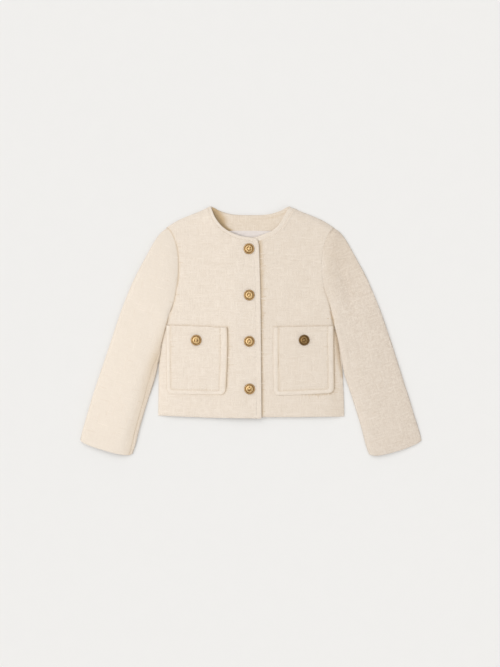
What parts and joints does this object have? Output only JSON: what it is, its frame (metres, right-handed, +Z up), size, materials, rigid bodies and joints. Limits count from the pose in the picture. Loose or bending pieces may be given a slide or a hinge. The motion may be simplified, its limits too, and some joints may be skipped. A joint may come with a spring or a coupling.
{
  "type": "collarless boucle jacket",
  "caption": "Cropped collarless boucle jacket laid flat and buttoned, with patch pockets, self-cloth edge bands and domed metal buttons.",
  "frame": {"origin": "centre of the laid-out jacket's box, on the surface it lies on", "axes": "+X towards the wearer's left sleeve, +Y towards the neck, +Z up out of the front"},
  "size_m": [0.824, 0.6004, 0.0199],
  "materials": {
    "boucle": "matt cream boucle tweed with slubs and a fuzzy face",
    "edge_band": "the same boucle folded and pressed into narrow edge bands, a little lighter",
    "lining": "smooth satin lining, pale lilac grey, low sheen",
    "antique_brass": "antiqued cast brass, dark in the hollows and rubbed bright on the domes"
  },
  "bodies": {
    "root": {"back": "boucle", "front_left": "boucle", "front_right": "boucle", "under_sleeve_left": "boucle", "under_sleeve_right": "boucle", "upper_sleeve_left": "boucle", "upper_sleeve_right": "boucle", "pocket_left": "boucle", "pocket_right": "boucle", "back_neck_facing": "boucle", "neck_band_back": "edge_band", "neck_band_left": "edge_band", "neck_band_right": "edge_band", "front_band": "edge_band", "pocket_band_left": "edge_band", "pocket_band_right": "edge_band", "lining": "lining", "front_button_1": "antique_brass", "front_button_2": "antique_brass", "front_button_3": "antique_brass", "front_button_4": "antique_brass", "pocket_button_left": "antique_brass", "pocket_button_right": "antique_brass"}
  },
  "joints": []
}
